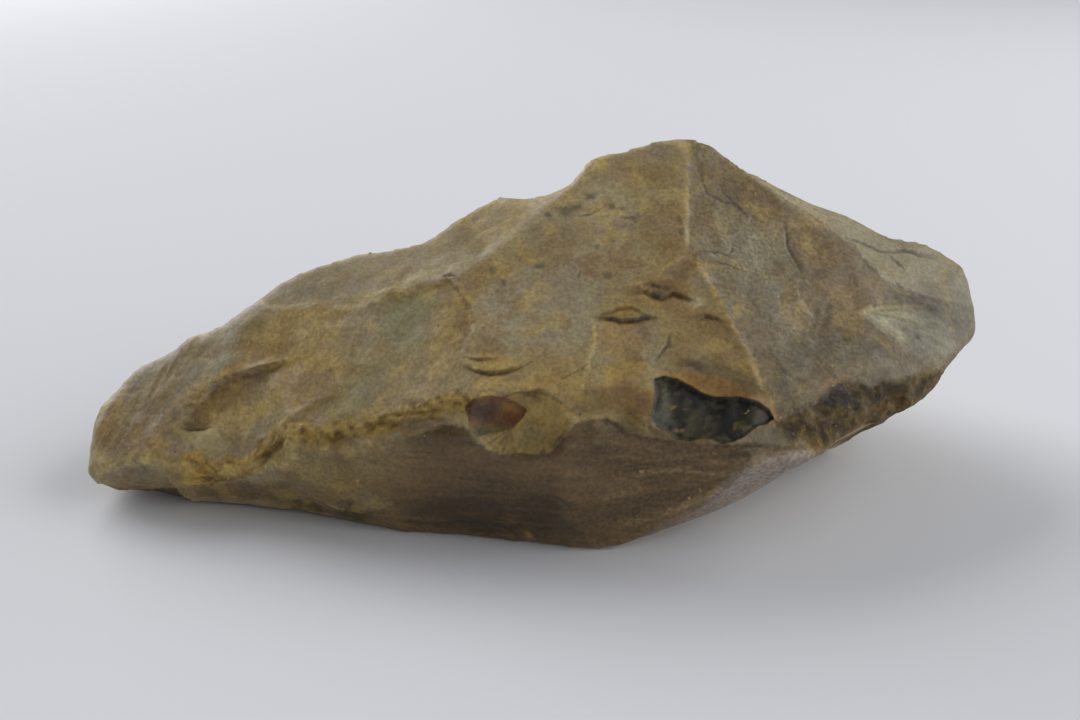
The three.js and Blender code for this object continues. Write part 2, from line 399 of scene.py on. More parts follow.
RIND = [
    (776, 432), (790, 420), (806, 402), (824, 390), (850, 383), (880, 384), (905, 380), (930, 372),
    (948, 368), (955, 384), (930, 404), (890, 424), (850, 440), (820, 452), (790, 446),
]
WORN_EDGE = [(270, 446), (292, 430), (318, 434), (350, 430), (384, 424), (424, 412), (462, 404)]
BUTT = [
    (690, 140), (688, 200), (688, 250), (704, 272), (722, 310), (737, 334), (757, 371), (776, 412),
    (790, 446), (830, 448), (900, 420), (960, 370), (995, 330), (985, 270), (930, 235), (850, 205),
    (760, 160), (712, 130),
]

# Where the front's streaks and the pale fan's rays start, where broad changes begin and end across
# the picture, how far an edge wanders and how near a mark its faces are split, in pixels.
STREAK_HUB = (836, 444)
FAN_HUB = (858, 306)
FRONT_TURNS = (560, 640)
FRONT_BROWNS = (350, 450)
FOOT_PALES = (640, 740)
TIP_ENDS = (400, 430)
WANDER = 1.1
FINE_WITHIN = 5


def within(outline, places):
    """Each place's distance from an outline in pixels, above nought inside it."""
    closed = outline + outline[:1]
    odd = np.zeros(len(places), bool)
    for (x0, y0), (x1, y1) in zip(closed, closed[1:]):
        if y0 != y1:
            crosses = (y0 > places[:, 1]) != (y1 > places[:, 1])
            odd ^= crosses & (places[:, 0] < (x1 - x0) * (places[:, 1] - y0) / (y1 - y0) + x0)
    return from_line(closed, places)[0] * np.where(odd, 1, -1)


def eased(value, low, high):
    """Nought up to low, one from high on, and a smooth rise between."""
    share = np.clip((value - low) / (high - low), 0, 1)
    return share * share * (3 - 2 * share)


def halved(skin, chosen):
    """Splits the faces whose points are all chosen, so that finer marks have real depth there."""
    edges = [e for e in skin.edges if chosen[e.verts[0].index] and chosen[e.verts[1].index]]
    bmesh.ops.subdivide_edges(skin, edges=edges, cuts=1, use_grid_fill=True)
    skin.verts.index_update()


halved(skin, facing_camera(skin))

places = places_in_picture(points_of(skin))
near = np.zeros(len(places), bool)
shaded_lip_lines = [LIPS[name][0] for name in LIP_SHADE_DARKNESS]
crack_lines = [line for line, reach, amount in FINE_CRACKS.values()]
chip_lines = [BLACK_CHIP + BLACK_CHIP[:1], BROWN_CHIP + BROWN_CHIP[:1], FAN_CHIP]
for line in crack_lines + shaded_lip_lines + chip_lines:
    near |= from_line(line, places)[0] < FINE_WITHIN
halved(skin, near & facing_camera(skin))
bmesh.ops.triangulate(skin, faces=[f for f in skin.faces if len(f.verts) > 4])
skin.verts.index_update()

# Hand axe, the relief: scar ripples, crushed edges, pits in the rind and the lips of the cracks are
# pressed into the skin along its normals, in millimetres.
DEPTHS = {
    "swell": 0.24, "dimples": 0.10, "pits": 0.025, "front's ripples": 0.05, "front's rays": 0.13,
    "tip's ripples": 0.06, "crushed dimples": 0.22, "crushed pits": 0.2, "rind's dimples": 0.34,
    "rind's pits": 0.30, "rind": 0.1, "fine crack": 0.15, "black chip": 0.25,
    "black chip's floor": 0.35, "black chip's dimples": 0.12, "brown chip": 0.12,
    "brown chip's floor": 0.2, "fan chip": 0.16,
}

points = points_of(skin)
normals = normals_of(skin)
seen = seen_by_camera(skin)
places = places_in_picture(points)
bulge = np.array([v[bulge_layer] for v in skin.verts])


def noise_at(at, octaves=3):
    return np.array([noise.fractal(Vector(p), 1.0, 2.0, octaves) for p in at])


def streaks(slope, fine, long, seed):
    """Noise drawn out in the picture along a slope in degrees, fine across it and long along it."""
    turn = math.radians(slope)
    along = places[:, 0] * math.cos(turn) + places[:, 1] * math.sin(turn)
    cross = places[:, 1] * math.cos(turn) - places[:, 0] * math.sin(turn)
    return noise_at(np.stack([along / long, cross / fine, np.full(len(places), seed)], 1), 3)


def rays_from(hub, fine, long, seed):
    """Noise drawn out away from a hub in the picture, fine in degrees around it and long in pixels."""
    off = places - hub
    around_hub = np.degrees(np.arctan2(off[:, 1], np.abs(off[:, 0])))
    far = np.hypot(off[:, 0], off[:, 1])
    return noise_at(np.stack([around_hub / fine, far / long, np.full(len(places), seed)], 1), 3)


def inside(outline, at, low, high):
    """One inside an outline on the seen side, with an edge that eases over pixels from low to high."""
    return seen * eased(within(outline, at), low, high)


# Places in the picture, moved by noise, so that an edge that is drawn by them runs unevenly.
wander = np.stack([noise_at(points / 1.2 + 31, 2), noise_at(points / 1.2 + 57, 2)], 1)
drift = np.stack([noise_at(points / 6 + 11, 3), noise_at(points / 6 + 83, 3)], 1)
crisp = places + WANDER * wander
smooth = places + 0.5 * wander
loose = places + 9 * drift + 2 * wander

swell = noise_at(points / 9, 3)
dimple = noise_at(points / 3.6 + 71, 3)
pits = noise_at(points / 1.1 + 19, 3)
flow = streaks(4, 4, 60, 3.3)
tip_flow = streaks(-62, 5, 45, 7.7)
fanned = rays_from(STREAK_HUB, 3.2, 110, 1.7)
cap_streaks = rays_from(FAN_HUB, 6.0, 50, 4.4)

front = inside(FRONT_FACE, crisp, -1.5, 2.5)
front_right = front * eased(places[:, 0], *FRONT_TURNS)
front_left = front - front_right
tip_face = seen * (1 - eased(places[:, 0] + 0.6 * places[:, 1], *TIP_ENDS))
edge_far = from_line(WORN_EDGE, loose)[0]
crushed = seen * (1 - eased(edge_far, 6, 15))
in_rubble = inside(RUBBLE, loose, -3, 4)
crushed = np.maximum(crushed, in_rubble)
top_facet = inside(TOP_FACET, crisp, -2, 3)
rind = inside(RIND, loose, -4, 6)
hidden_rind = (1 - seen) * eased(noise_at(points / 22 + 7, 2), 0.32, 0.5)
rind = np.maximum(rind, 0.8 * hidden_rind)

relief = DEPTHS["swell"] * swell + DEPTHS["dimples"] * dimple * (1 - 0.6 * front) + DEPTHS["pits"] * pits
relief *= 1 - 0.5 * top_facet
relief += DEPTHS["front's ripples"] * flow * front_left
relief += DEPTHS["front's rays"] * fanned * front_right
relief += DEPTHS["tip's ripples"] * tip_flow * tip_face
relief += crushed * (DEPTHS["crushed dimples"] * dimple + DEPTHS["crushed pits"] * pits)
relief += rind * (DEPTHS["rind's dimples"] * dimple + DEPTHS["rind's pits"] * np.minimum(pits, 0.1))
relief -= rind * DEPTHS["rind"]

# The painted shade along the cut under each open crack's lip.
lip_shade = np.zeros(len(points))
for name, (line, rise, over_reach, cut, under_reach) in LIPS.items():
    far, side, way = from_line(line, smooth)
    taper = np.sin(math.pi * np.clip(way, 0.02, 0.98)) ** 0.6
    over = (side < 0) * np.exp(-2 * (far / over_reach) ** 2)
    under = (side >= 0) * np.exp(-2 * (far / under_reach) ** 2)
    relief += seen * taper * (rise * over - cut * under)
    if name in LIP_SHADE_DARKNESS:
        shadow = np.abs(far * side - 1.2)
        shown = LIP_SHADE_DARKNESS[name] * seen * taper
        lip_shade = np.maximum(lip_shade, shown * (1 - eased(shadow, 0.2, 3.6)))

for name, (line, rise, reach) in RIDGES.items():
    far, side, way = from_line(line, loose)
    taper = np.sin(math.pi * np.clip(way, 0.02, 0.98)) ** 0.5
    relief += seen * taper * rise * np.exp(-2 * (far / reach) ** 2)

hair = np.zeros(len(points))
for name, (line, reach, amount) in FINE_CRACKS.items():
    far, side, way = from_line(line, crisp)
    taper = 0.35 + 0.65 * np.sin(math.pi * way)
    hair = np.maximum(hair, seen * amount * taper * (1 - eased(far, 0.3 * reach, 1.3 * reach)))
relief -= DEPTHS["fine crack"] * hair

black_depth = within(BLACK_CHIP, smooth)
black = seen * eased(black_depth, -0.8, 0.8)
relief -= black * (DEPTHS["black chip"] - DEPTHS["black chip's dimples"] * dimple)
relief -= black * DEPTHS["black chip's floor"] * eased(black_depth, 0, 20)
brown_depth = within(BROWN_CHIP, smooth)
amber = seen * eased(brown_depth, -0.8, 0.8)
relief -= amber * (DEPTHS["brown chip"] + DEPTHS["brown chip's floor"] * eased(brown_depth, 0, 14))
fan = inside(FAN_CHIP, smooth, -1, 1) * (1 - amber)
relief -= DEPTHS["fan chip"] * fan

points = points + normals * relief[:, None]
place_points(skin, points)

# Hand axe, the stains and painted shade: each point of the skin keeps its stone's colour, with some
# shade and light painted in, and how dark, worn, hollow, grainy, glossy or freshly broken the stone is
# there.
OLIVE = (128, 113, 78)
OCHRE = (146, 120, 64)
YELLOW = (160, 136, 76)
ORANGE = (142, 102, 50)
UMBER = (110, 86, 52)
BARK = (72, 52, 28)
GREY = (132, 124, 104)
GREEN = (112, 108, 76)
PALE = (160, 151, 123)
TAN = (138, 120, 88)
MAUVE = (112, 96, 82)
SLATE = (92, 84, 82)
EARTH = (90, 73, 50)
PEAT = (61, 50, 33)
SOOT = (44, 42, 38)
JET = (22, 21, 16)
MOSS = (84, 74, 42)
ASH = (128, 119, 110)
RUST = (150, 107, 44)
# The dark brown of the painted shade under the open cracks' lips.
LIP_SHADE_BROWN = (62, 44, 24)
AMBER = (86, 54, 30)
GARNET = (50, 32, 24)
CREAM = (176, 158, 104)
CHALK = (200, 194, 162)
TONE = 1.55

# Broad stains, and painted shade where noted: a place, two reaches in pixels, a tilt in degrees, a
# colour and its amount.
SPOTS = [
    ("tip, grey band", 205, 372, 20, 66, 38, GREY, 0.8),
    ("tip, grey band, low", 155, 432, 14, 26, 35, MAUVE, 0.6),
    ("tip, inner band", 135, 425, 14, 50, 25, UMBER, 0.45),
    ("tip, brown band", 160, 388, 10, 54, 35, UMBER, 0.6),
    ("tip, yellow band", 182, 398, 6, 44, 38, OCHRE, 0.5),
    ("tip, yellow side", 112, 420, 7, 40, 25, OCHRE, 0.5),
    ("tip, low", 125, 470, 34, 12, 5, MAUVE, 0.5),
    ("tip, spot", 143, 461, 6, 4, 0, CREAM, 0.8),
    ("tip, wedge", 176, 458, 12, 20, -20, UMBER, 0.6),
    # Painted shade on the scoop's steep wall, under its crest.
    ("scoop, wall", 216, 392, 30, 8, -42, BARK, 0.3),
    ("scoop, far wall", 258, 372, 30, 6, -18, BARK, 0.55),
    ("scoop, floor", 222, 402, 30, 16, -25, UMBER, 0.5),
    ("scoop, green spot", 227, 385, 8, 6, 0, SLATE, 0.6),
    # Painted shade in the crease at the scoop's foot.
    ("scoop, foot", 196, 423, 17, 5, -4, BARK, 0.5),
    ("scoop, yellow", 250, 410, 18, 9, -10, YELLOW, 0.5),
    ("scoop, side", 285, 385, 16, 18, 30, TAN, 0.5),
    ("wedge, orange", 236, 446, 18, 12, -35, TAN, 0.6),
    ("shoulder, left", 285, 340, 44, 26, -10, OCHRE, 0.4),
    ("shoulder, yellow", 322, 362, 24, 14, 0, YELLOW, 0.55),
    ("shoulder, mauve", 358, 328, 16, 20, 10, MAUVE, 0.45),
    ("shoulder, green", 412, 318, 26, 34, 30, GREEN, 0.85),
    ("shoulder, green foot", 372, 378, 34, 18, -30, GREEN, 0.6),
    ("shoulder, right", 440, 335, 16, 30, 5, OCHRE, 0.4),
    ("shoulder, low grey", 340, 405, 28, 10, -20, GREEN, 0.5),
    ("shoulder, tan", 420, 382, 36, 14, -8, TAN, 0.5),
    ("edge, yellow", 456, 399, 18, 5, 0, YELLOW, 0.9),
    ("edge, yellow blob", 366, 433, 11, 7, 0, YELLOW, 0.6),
    ("edge, brown", 440, 412, 30, 8, -6, BARK, 0.5),
    ("edge, brown low", 412, 429, 42, 6, -4, UMBER, 0.6),
    ("hump", 500, 218, 34, 14, -20, OCHRE, 0.45),
    ("big face, brown", 580, 235, 60, 14, -4, UMBER, 0.4),
    ("big face, orange", 610, 225, 34, 9, 0, ORANGE, 0.35),
    ("big face, grey", 545, 305, 56, 50, 0, GREY, 0.7),
    ("big face, grey side", 500, 320, 28, 36, 0, GREY, 0.6),
    ("big face, upper grey", 608, 222, 40, 44, 0, GREY, 0.5),
    ("big face, mauve", 590, 268, 54, 14, -6, MAUVE, 0.35),
    ("big face, low", 545, 380, 40, 12, 0, OCHRE, 0.4),
    ("big face, low left", 500, 385, 30, 8, 5, YELLOW, 0.5),
    ("lip, lower left", 492, 364, 28, 8, 4, YELLOW, 0.85),
    ("lip, middle", 624, 313, 18, 5, 2, OCHRE, 0.9),
    ("lip, upper", 661, 290, 30, 8, 5, BARK, 0.8),
    ("lip, upper, chips", 690, 308, 9, 4, 35, TAN, 0.8),
    ("fork, top", 682, 270, 14, 10, 0, EARTH, 0.75),
    ("fork, brown", 672, 284, 26, 9, 10, UMBER, 0.5),
    ("fork, orange", 622, 338, 24, 20, 0, ORANGE, 0.45),
    ("fork, mauve", 642, 336, 8, 6, 0, MAUVE, 0.7),
    ("fork, right", 700, 345, 36, 26, 20, UMBER, 0.4),
    ("fork, yellow", 624, 372, 26, 12, 0, OCHRE, 0.8),
    ("fork, orange foot", 628, 398, 34, 16, 6, ORANGE, 0.6),
    ("fork, pale chips", 695, 306, 6, 6, 0, PALE, 0.7),
    ("fork, dark smear", 692, 366, 14, 4, 25, BARK, 0.6),
    ("over the black chip", 722, 388, 52, 9, 14, RUST, 0.8),
    ("under the black chip", 715, 444, 56, 5, 2, UMBER, 0.9),
    ("beside the black chip", 774, 420, 12, 12, -15, ORANGE, 0.7),
    ("right of the black chip", 762, 431, 14, 6, -15, OCHRE, 0.8),
    ("butt, grey", 750, 262, 34, 48, -30, GREY, 0.8),
    ("butt, grey low", 790, 330, 30, 36, -30, GREY, 0.7),
    ("butt, green low", 845, 352, 42, 14, 0, GREEN, 0.4),
    ("butt, yellow low", 845, 372, 50, 12, -4, OCHRE, 0.4),
    ("butt, mauve", 800, 262, 14, 30, -20, MAUVE, 0.3),
    ("butt, orange", 850, 320, 18, 20, 0, ORANGE, 0.35),
    ("butt, pale spot", 858, 352, 6, 4, 0, PALE, 0.7),
    ("butt, yellow spot", 736, 309, 4, 6, 0, YELLOW, 0.8),
    ("over the white fan", 898, 295, 30, 6, 3, BARK, 0.6),
    ("white fan, yellow", 866, 314, 7, 6, 0, YELLOW, 0.9),
    ("white fan, grey", 945, 342, 12, 5, 0, SLATE, 0.5),
    ("right end", 950, 300, 24, 40, -20, OLIVE, 0.5),
    ("left facet", 300, 468, 44, 22, 12, OLIVE, 0.8),
    ("left facet, yellow", 340, 478, 34, 14, 12, OCHRE, 0.35),
    # Painted shadow below and right of the ridge over the left facet.
    ("left facet, dark", 268, 452, 7, 8, 0, PEAT, 0.8),
    ("left facet, pits", 332, 440, 24, 6, 5, BARK, 0.4),
    ("left of the rubble", 177, 446, 11, 14, 0, MAUVE, 0.5),
    ("under the rubble", 258, 488, 34, 8, 0, EARTH, 0.7),
    ("front, foot left", 240, 494, 60, 9, 6, EARTH, 0.9),
    ("front, foot middle", 330, 510, 60, 7, 5, PEAT, 0.9),
    ("scoop, grey foot", 300, 420, 14, 6, 0, TAN, 0.4),
]
RIND_SPOTS = [
    ("orange", 836, 381, 18, 4, 4, RUST, 0.7),
    ("dark", 838, 397, 17, 11, 20, SLATE, 0.9),
    ("dark core", 838, 406, 12, 6, 10, SOOT, 0.6),
    ("dark right", 878, 392, 24, 7, 5, BARK, 0.9),
    ("black", 898, 391, 5, 6, 0, SOOT, 0.9),
    ("dark end", 922, 388, 12, 6, -30, BARK, 0.7),
    ("yellow", 850, 416, 14, 4, -5, OCHRE, 0.8),
    ("orange right", 885, 405, 16, 5, -15, RUST, 0.6),
    ("orange low", 858, 426, 16, 4, -20, ORANGE, 0.6),
    ("orange end", 906, 404, 14, 4, -25, ORANGE, 0.5),
    ("pale", 812, 420, 14, 6, -20, TAN, 0.8),
    ("dark low", 802, 432, 13, 7, 0, EARTH, 0.9),
    ("dark low right", 832, 432, 16, 8, -15, BARK, 0.7),
]

# Patches that are painted inside one form: a place, two reaches in pixels and a tilt in degrees.
HUMP = (488, 222, 50, 20, -18)
# The keel's foot, painted darkest: partly its own dark patina, partly painted shade near the floor.
FRONT_DARK = (500, 512, 100, 24, 5)
FAN_YELLOW = (540, 412, 22, 10, 0)
FAN_GREEN = (530, 438, 22, 10, 0)
FAN_PALE = (494, 444, 16, 10, 0)
# Painted shade under the rim over the fan chip.
FAN_RIM_SHADE = (538, 394, 22, 5, 4)
BROWN_CHIP_FOOT = (488, 431, 30, 8, -6)
BROWN_CHIP_CORE = (483, 410, 17, 10, 0)
BROWN_CHIP_GLINT = (511, 409, 12, 6, 20)
BLACK_CHIP_END = (762, 418, 12, 10, 0)
# How much paler the ledge under the scoop's wall is painted: painted light on a face that turns up to
# the light.
WEDGE_PAINTED_LIGHT = 0.42
LINE_GAIN = 1.2
CRUSHED_DARKER = 0.12

# Painted lines: a colour, how far it reaches in pixels and its amount.
LINES = {
    # Painted highlight along the tip's outer rim.
    "tip rim": ([(91, 462), (92, 445), (97, 425), (107, 403), (124, 384), (150, 362)], PALE, 3.5, 0.6),
    "tip streak": ([(158, 362), (136, 386), (120, 410), (112, 432)], MAUVE, 4, 0.4),
    "tip streak, light": ([(196, 345), (178, 370), (160, 396), (150, 420)], PALE, 4, 0.3),
    "scoop crest": ([(286, 358), (262, 362), (240, 366), (224, 372), (210, 383), (198, 397),
                     (186, 410), (176, 422)], OCHRE, 4, 0.8),
    "scoop shade": ([(284, 365), (262, 370), (242, 377), (224, 382), (213, 390), (202, 402),
                     (192, 414)], BARK, 4.5, 0.5),
    "body's edge": ([(168, 474), (175, 482), (183, 492), (194, 499), (208, 501)], CREAM, 2, 0.7),
    # Painted shade in the crease at the scoop's foot, over the ledge.
    "wedge's top": ([(175, 425), (186, 429), (199, 431), (213, 427)], BARK, 2.2, 0.3),
    "wedge's left": ([(174, 427), (181, 434), (190, 443)], YELLOW, 2, 0.7),
    "wedge's edge": ([(181, 432), (190, 443), (203, 449), (222, 452)], BARK, 1.6, 0.35),
    "ridge line": ([(300, 408), (287, 418), (274, 430), (262, 445), (248, 458), (232, 470)],
                   YELLOW, 3, 0.8),
    # Painted shadow along the ridge's shaded side.
    "ridge line, dark": ([(280, 440), (268, 454), (254, 466), (240, 476)], BARK, 4, 0.7),
    "diagonal": ([(289, 415), (306, 406), (330, 395), (348, 385)], TAN, 1.6, 0.4),
    "diagonal, brown": ([(286, 406), (294, 405), (303, 399)], ORANGE, 4, 0.5),
    "top facet edge": ([(262, 301), (280, 308), (300, 312), (326, 314)], YELLOW, 4, 0.8),
    "top facet edge, right": ([(326, 313), (350, 306), (385, 290), (420, 276), (445, 270)],
                              CREAM, 4, 0.35),
    "shoulder step": ([(447, 281), (452, 290), (459, 299), (468, 311), (473, 330), (474, 350)],
                      YELLOW, 4, 0.5),
    "shoulder step, dark": ([(453, 281), (459, 290), (465, 301), (469, 314)], BARK, 2.5, 0.5),
    "shoulder slot": ([(470, 284), (470, 290)], SLATE, 3, 0.8),
    "edge, yellow": ([(470, 397), (490, 393), (504, 394)], YELLOW, 3.5, 0.6),
    "edge, dark streak": ([(380, 416), (395, 415), (410, 414), (427, 413), (440, 409)], BARK, 2.5, 0.85),
    "edge, dark streak, left": ([(368, 424), (380, 424), (393, 422)], BARK, 2.5, 0.8),
    "edge, dark streak, low": ([(403, 421), (418, 420), (430, 418), (446, 420)], BARK, 3, 0.85),
    "edge, light streak": ([(366, 420), (390, 419), (412, 417), (440, 415)], YELLOW, 2, 0.5),
    "edge, brown arc": ([(431, 410), (437, 405), (445, 401), (457, 402)], UMBER, 2.5, 0.8),
    "edge, orange": ([(386, 429), (397, 427), (405, 431)], RUST, 4, 0.7),
    "edge, orange, low": ([(404, 435), (414, 434), (422, 431)], RUST, 3, 0.6),
    "edge, dark blotch": ([(352, 444), (372, 446), (388, 443), (404, 439), (414, 437)], BARK, 4.5, 0.8),
    "edge, dark specks": ([(318, 430), (328, 438), (340, 441)], BARK, 5, 0.6),
    "brown chip's foot": ([(470, 428), (477, 436), (490, 433), (504, 431), (514, 428)], BARK, 1.8, 0.75),
    "rubble, crevice": ([(200, 466), (212, 476), (226, 474), (238, 478)], BARK, 3, 0.6),
    "rubble, yellow": ([(196, 456), (206, 454), (214, 462), (222, 470), (236, 466)], OCHRE, 5, 0.7),
    "hump rim": ([(478, 206), (500, 202), (520, 203), (545, 207)], CREAM, 2.5, 0.5),
    "peak ridge": ([(689, 150), (688, 175), (686, 200), (686, 225), (687, 252)], YELLOW, 3, 0.3),
    "peak flecks": ([(687, 205), (688, 214), (686, 228), (687, 248)], PALE, 2.2, 0.6),
    "right fork": ([(690, 256), (704, 273), (712, 286), (717, 300), (724, 314), (736, 332)],
                   YELLOW, 3, 0.95),
    "right fork, foot": ([(736, 332), (748, 354), (762, 380), (774, 400), (790, 414)], OCHRE, 6, 0.6),
    "left fork": ([(685, 256), (671, 263), (662, 271), (654, 281)], YELLOW, 2.4, 0.8),
    "left line": ([(592, 319), (595, 330), (594, 343), (590, 357), (586, 376), (581, 392)],
                  CREAM, 2.6, 0.8),
    "chip edge": ([(560, 402), (580, 398), (600, 402), (622, 412), (640, 424), (655, 434)],
                  OCHRE, 6, 0.7),
    "chip edge, dark": ([(622, 409), (634, 416), (648, 427), (660, 436)], BARK, 2.4, 0.7),
    "black chip's rim": ([(662, 374), (680, 379), (696, 388), (712, 395), (740, 396), (760, 402),
                          (777, 414)], RUST, 5, 0.6),
    # Painted shadow under the rim over the brown and fan chips.
    "chip rim": ([(466, 406), (474, 400), (488, 397), (503, 398), (516, 393), (535, 391), (548, 393),
                  (558, 400)], BARK, 2, 0.7),
    "fan's foot": ([(548, 454), (556, 444), (564, 434), (574, 425), (588, 421), (606, 420),
                    (620, 426), (632, 434), (652, 439), (668, 442)], BARK, 3, 0.8),
    "black chip's foot": ([(668, 443), (700, 448), (730, 447), (760, 443)], UMBER, 3, 0.7),
    "butt, white line": ([(797, 290), (801, 300), (807, 309), (813, 317)], CHALK, 2.2, 0.7),
    "butt, streak left": ([(818, 303), (816, 318), (812, 334)], BARK, 3.5, 0.7),
    "butt, streak right": ([(831, 301), (828, 316), (822, 336)], BARK, 4, 0.7),
    "butt, smudge": ([(786, 369), (784, 384), (780, 398)], SLATE, 5, 0.8),
    "butt ridge": ([(712, 148), (745, 172), (780, 198), (820, 221), (850, 246)], PALE, 2.5, 0.5),
    "white fan streak": ([(870, 311), (884, 320), (897, 332), (910, 346)], CHALK, 5, 0.9),
    "white fan crest": ([(866, 312), (885, 306), (905, 306), (930, 305)], CREAM, 3, 0.7),
    "white fan, low": ([(918, 331), (930, 333), (941, 333)], CHALK, 2.4, 0.7),
    "right rim": ([(972, 310), (973, 325), (966, 340), (950, 352)], PALE, 3, 0.5),
    "facet, light line": ([(342, 462), (358, 476), (374, 490), (394, 504)], OCHRE, 2.6, 0.6),
    "facet, foot line": ([(326, 503), (338, 507), (350, 510)], CREAM, 1.6, 0.6),
    "front speck": ([(524, 531), (529, 536), (532, 541)], OCHRE, 3.5, 0.9),
    "front scar": ([(552, 497), (563, 502), (572, 512), (578, 522)], OCHRE, 3, 0.4),
    "front, light streak": ([(650, 470), (690, 472), (720, 474), (742, 478)], TAN, 3, 0.5),
    "front, light streak, upper": ([(660, 458), (700, 460), (735, 464)], TAN, 2.5, 0.35),
    "front, light streak, low": ([(620, 530), (660, 516), (700, 502), (728, 486)], TAN, 3, 0.4),
}

# Flecks: a place and two reaches in pixels. Rays are fine dark lines in the pale fan chip.
DARK_FLECKS = [
    (590, 197, 6, 4), (574, 208, 10, 4), (566, 212, 9, 6), (548, 215, 5, 3), (612, 207, 4, 3),
    (622, 208, 5, 2), (629, 217, 9, 2), (612, 240, 4, 2), (608, 276, 5, 3), (579, 275, 3, 3),
    (503, 283, 4, 4), (540, 266, 6, 3), (492, 270, 5, 5), (680, 221, 3, 5), (681, 232, 3, 4),
    (690, 169, 6, 4), (598, 247, 2, 3), (143, 466, 3, 2), (352, 355, 3, 3), (331, 371, 3, 2),
    (543, 452, 3, 3), (530, 429, 3, 2), (610, 318, 6, 2), (645, 317, 6, 3), (658, 294, 8, 4),
]
BLACK_CHIP_FLECKS = [
    (676, 407, 14, 3), (681, 430, 10, 3), (658, 411, 5, 3), (701, 416, 4, 3), (740, 426, 9, 5),
]
RAYS_START = (510, 431)
FAN_RAYS = [
    [(498, 437), (482, 448)], [(502, 441), (492, 452)], [(506, 441), (503, 452)],
    [(513, 441), (515, 451)],
]

# How much paler or darker the stone is painted, over broad ovals: mostly its patina, and painted light
# and painted shade where noted.
TONES = [
    # Painted light: the scoop's hollow is painted paler, to lift its shade.
    ("scoop", 238, 400, 56, 30, -20, 1.4),
    ("tip, low", 132, 478, 46, 14, 5, 0.8),
    ("tip", 150, 400, 60, 50, -50, 0.87),
    # Painted shade at the foot of the scoop's wall.
    ("scoop, wall", 190, 412, 24, 12, -45, 0.8),
    ("shoulder", 400, 330, 90, 60, 0, 1.1),
    ("shoulder's back", 340, 288, 80, 16, -12, 0.8),
    # Painted shade that takes back the sheen on the hump, over its own yellow.
    ("hump", *HUMP, 0.6),
    ("over the black chip", 725, 380, 60, 16, 14, 0.6),
    ("fork", 630, 345, 40, 30, 0, 0.9),
    ("fan chip", 530, 425, 50, 30, 0, 0.85),
    # Painted shade under the fan chip's rim.
    ("fan chip's rim", 541, 395, 20, 6, 0, 0.68),
    ("fan chip's left", 492, 446, 18, 9, 0, 0.75),
    ("left of the black chip", 624, 402, 36, 18, 0, 0.52),
    ("beside the fan chip", 584, 406, 24, 14, 0, 0.72),
    ("edge, low", 415, 428, 42, 6, -4, 0.78),
    # Painted shadow below the ridge over the left facet.
    ("dark hollow", 266, 457, 9, 8, 0, 0.62),
    ("far facet", 890, 256, 90, 30, 16, 0.8),
    ("under the black chip, right", 766, 441, 32, 12, -10, 0.5),
    ("tip's back", 256, 316, 24, 14, -30, 0.75),
    ("top facet's edge", 330, 318, 48, 14, -4, 1.3),
    ("over the front edge", 640, 431, 36, 12, 8, 0.62),
    ("front, left end", 450, 438, 42, 12, 0, 0.7),
    ("right of the wedge", 224, 428, 18, 12, 0, 1.25),
    ("left facet, foot", 374, 494, 22, 16, 0, 0.72),
    ("butt, top", 764, 250, 24, 20, -20, 1.3),
    ("butt's brown, top", 822, 250, 20, 16, 30, 1.25),
    ("front, beside the fan chip", 588, 446, 34, 18, 0, 0.75),
    ("top facet, middle", 384, 284, 42, 13, -14, 1.2),
    ("big face, top", 600, 195, 46, 30, 0, 1.15),
    ("lips", 626, 314, 36, 15, 0, 0.82),
    ("fork, low", 628, 374, 24, 14, 0, 0.85),
    ("right of the fork", 736, 344, 20, 20, 0, 0.88),
    ("left of the rubble", 177, 446, 12, 12, 0, 1.25),
    ("left facet", 300, 470, 60, 28, 12, 0.85),
    ("left facet, right", 320, 475, 40, 26, 0, 0.8),
    # Painted shade at the keel's foot, over its own dark patina.
    ("front, dark end", 500, 505, 110, 30, 5, 0.7),
    ("front, right", 680, 480, 130, 50, -10, 0.9),
    ("right end", 950, 318, 40, 50, 0, 0.52),
    ("butt, low", 840, 362, 80, 26, 0, 0.7),
    ("butt, middle", 765, 285, 40, 40, 0, 0.9),
    ("white fan", 910, 330, 50, 30, 0, 0.83),
    ("rind", 865, 405, 96, 26, -15, 0.5),
    ("black chip", 710, 415, 70, 34, 0, 0.7),
]
# The butt is painted darker and less blue: partly its own greyer colour, partly painted shade that takes
# back the light of the lamp on the right. The top facet is painted darker and yellower: partly its own
# olive, partly painted shade that takes back the sheen that the lamp behind lays on it.
BUTT_TONE_AND_SHADE = (0.54, 0.54, 0.47)
TOP_FACET_TONE_AND_SHADE = (0.74, 0.73, 0.60)
FRONT_TONE = (1.0, 0.97, 0.85)
REST_TONE = (1.0, 1.0, 0.94)
HIDDEN_TONE = 0.7
HIDDEN_EDGE_PASSES = 12


def linear(colour):
    """A colour as it shows on a screen, as the light that the stone sends back."""
    share = np.array(colour) / 255
    return np.where(share < 0.04045, share / 12.92, ((share + 0.055) / 1.055) ** 2.4) * TONE


def lay(colour, amount):
    """Lays a coat of a colour on the skin's colours, by an amount for each point."""
    colours[:] += (linear(colour) - colours) * np.clip(amount, 0, 1)[:, None]


def oval(at, across, down, wide, high, tilt, inner, outer):
    """One inside an oval in the picture and nought outside, with a soft edge between."""
    turn = math.radians(tilt)
    off = at - (across, down)
    along = off[:, 0] * math.cos(turn) + off[:, 1] * math.sin(turn)
    cross = off[:, 1] * math.cos(turn) - off[:, 0] * math.sin(turn)
    return seen * (1 - eased(np.hypot(along / wide, cross / high), inner, outer))


broad = noise_at(points / 14 + 3, 3)
blush = noise_at(points / 5 + 23, 4)
clouded = noise_at(points / 4 + 61, 4)
flecked = noise_at(points / 1.5 + 90, 3)

